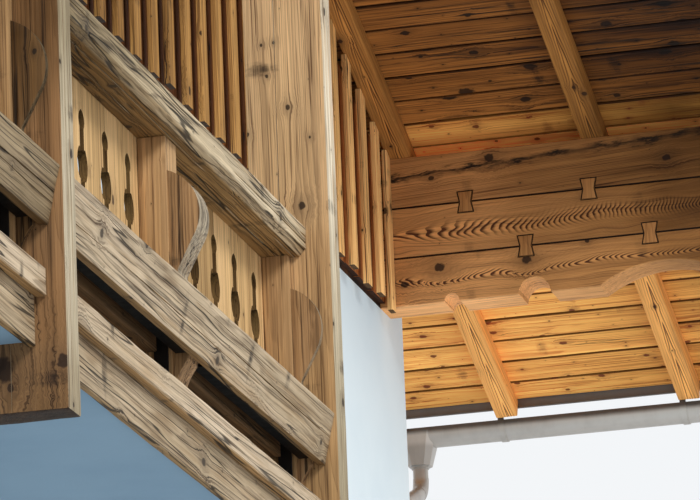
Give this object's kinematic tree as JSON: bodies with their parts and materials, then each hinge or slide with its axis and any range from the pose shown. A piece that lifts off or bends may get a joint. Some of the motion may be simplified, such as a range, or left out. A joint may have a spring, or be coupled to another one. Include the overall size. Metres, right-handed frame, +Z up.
{
  "type": "chalet gable corner with balcony",
  "caption": "Corner section of an alpine chalet's gable front, from the ground to the roof: plastered walls, timber balcony with flower boxes, keyed eaves purlin and roof overhang.",
  "frame": {"origin": "on the ground, level with the balcony's middle post, in the middle of the front wall's thickness", "axes": "+X along the gable front towards the eaves corner, +Y into the building, +Z up"},
  "size_m": [15.112, 5.15, 12.6999],
  "materials": {
    "plaster": "matte",
    "slab": "matte",
    "cladding_wood": "matte",
    "beam_wood": "matte",
    "soffit_wood": "matte",
    "post_wood": "matte",
    "railing_wood": "matte",
    "weathered_wood": "matte",
    "liner": "matte",
    "roofing": "satin",
    "gutter_metal": "satin",
    "steel": "satin",
    "door_wood": "satin",
    "door_glass": "clear"
  },
  "bodies": {
    "root": {"ground_floor": "slab", "front_wall_lower": "plaster", "front_wall_left": "plaster", "front_wall_right": "plaster", "front_wall_over_door": "plaster", "side_wall": "plaster", "side_wall_head": "plaster", "party_wall_left": "plaster", "party_wall_back": "plaster", "interior_floor": "slab", "gable_wall": "beam_wood", "gable_cladding": "cladding_wood", "balcony_slab": "slab", "balcony_door": "door_wood", "balcony_door_glass": "door_glass", "post_left": "post_wood", "post_centre": "post_wood", "post_right": "post_wood", "handrail_left": "weathered_wood", "handrail_right": "weathered_wood", "railing_boards_left": "railing_wood", "railing_boards_right": "railing_wood", "short_posts_left": "post_wood", "short_posts_right": "post_wood", "lower_rails_left": "weathered_wood", "lower_rails_right": "weathered_wood", "railing_return_left": "railing_wood", "railing_return_right": "railing_wood", "flower_box_left": "weathered_wood", "flower_box_right": "weathered_wood", "box_liners_left": "liner", "box_liners_right": "liner", "box_brackets_left": "post_wood", "box_brackets_right": "post_wood", "edge_boards_left": "weathered_wood", "edge_boards_right": "weathered_wood", "eaves_purlin_lower": "beam_wood", "eaves_purlin_middle": "beam_wood", "eaves_purlin_upper": "beam_wood", "purlin_keys": "beam_wood", "ridge_purlin": "beam_wood", "mid_purlin_left": "beam_wood", "mid_purlin_right": "beam_wood", "rafters_left": "soffit_wood", "rafters_right": "soffit_wood", "roof_boarding": "soffit_wood", "roof_covering": "roofing", "bargeboards": "soffit_wood", "steel_uprights": "steel", "drip_strip": "steel", "gutter": "gutter_metal", "gutter_brackets": "gutter_metal", "gutter_outlet": "gutter_metal", "downpipe": "gutter_metal", "pipe_clips": "gutter_metal"}
  },
  "joints": []
}
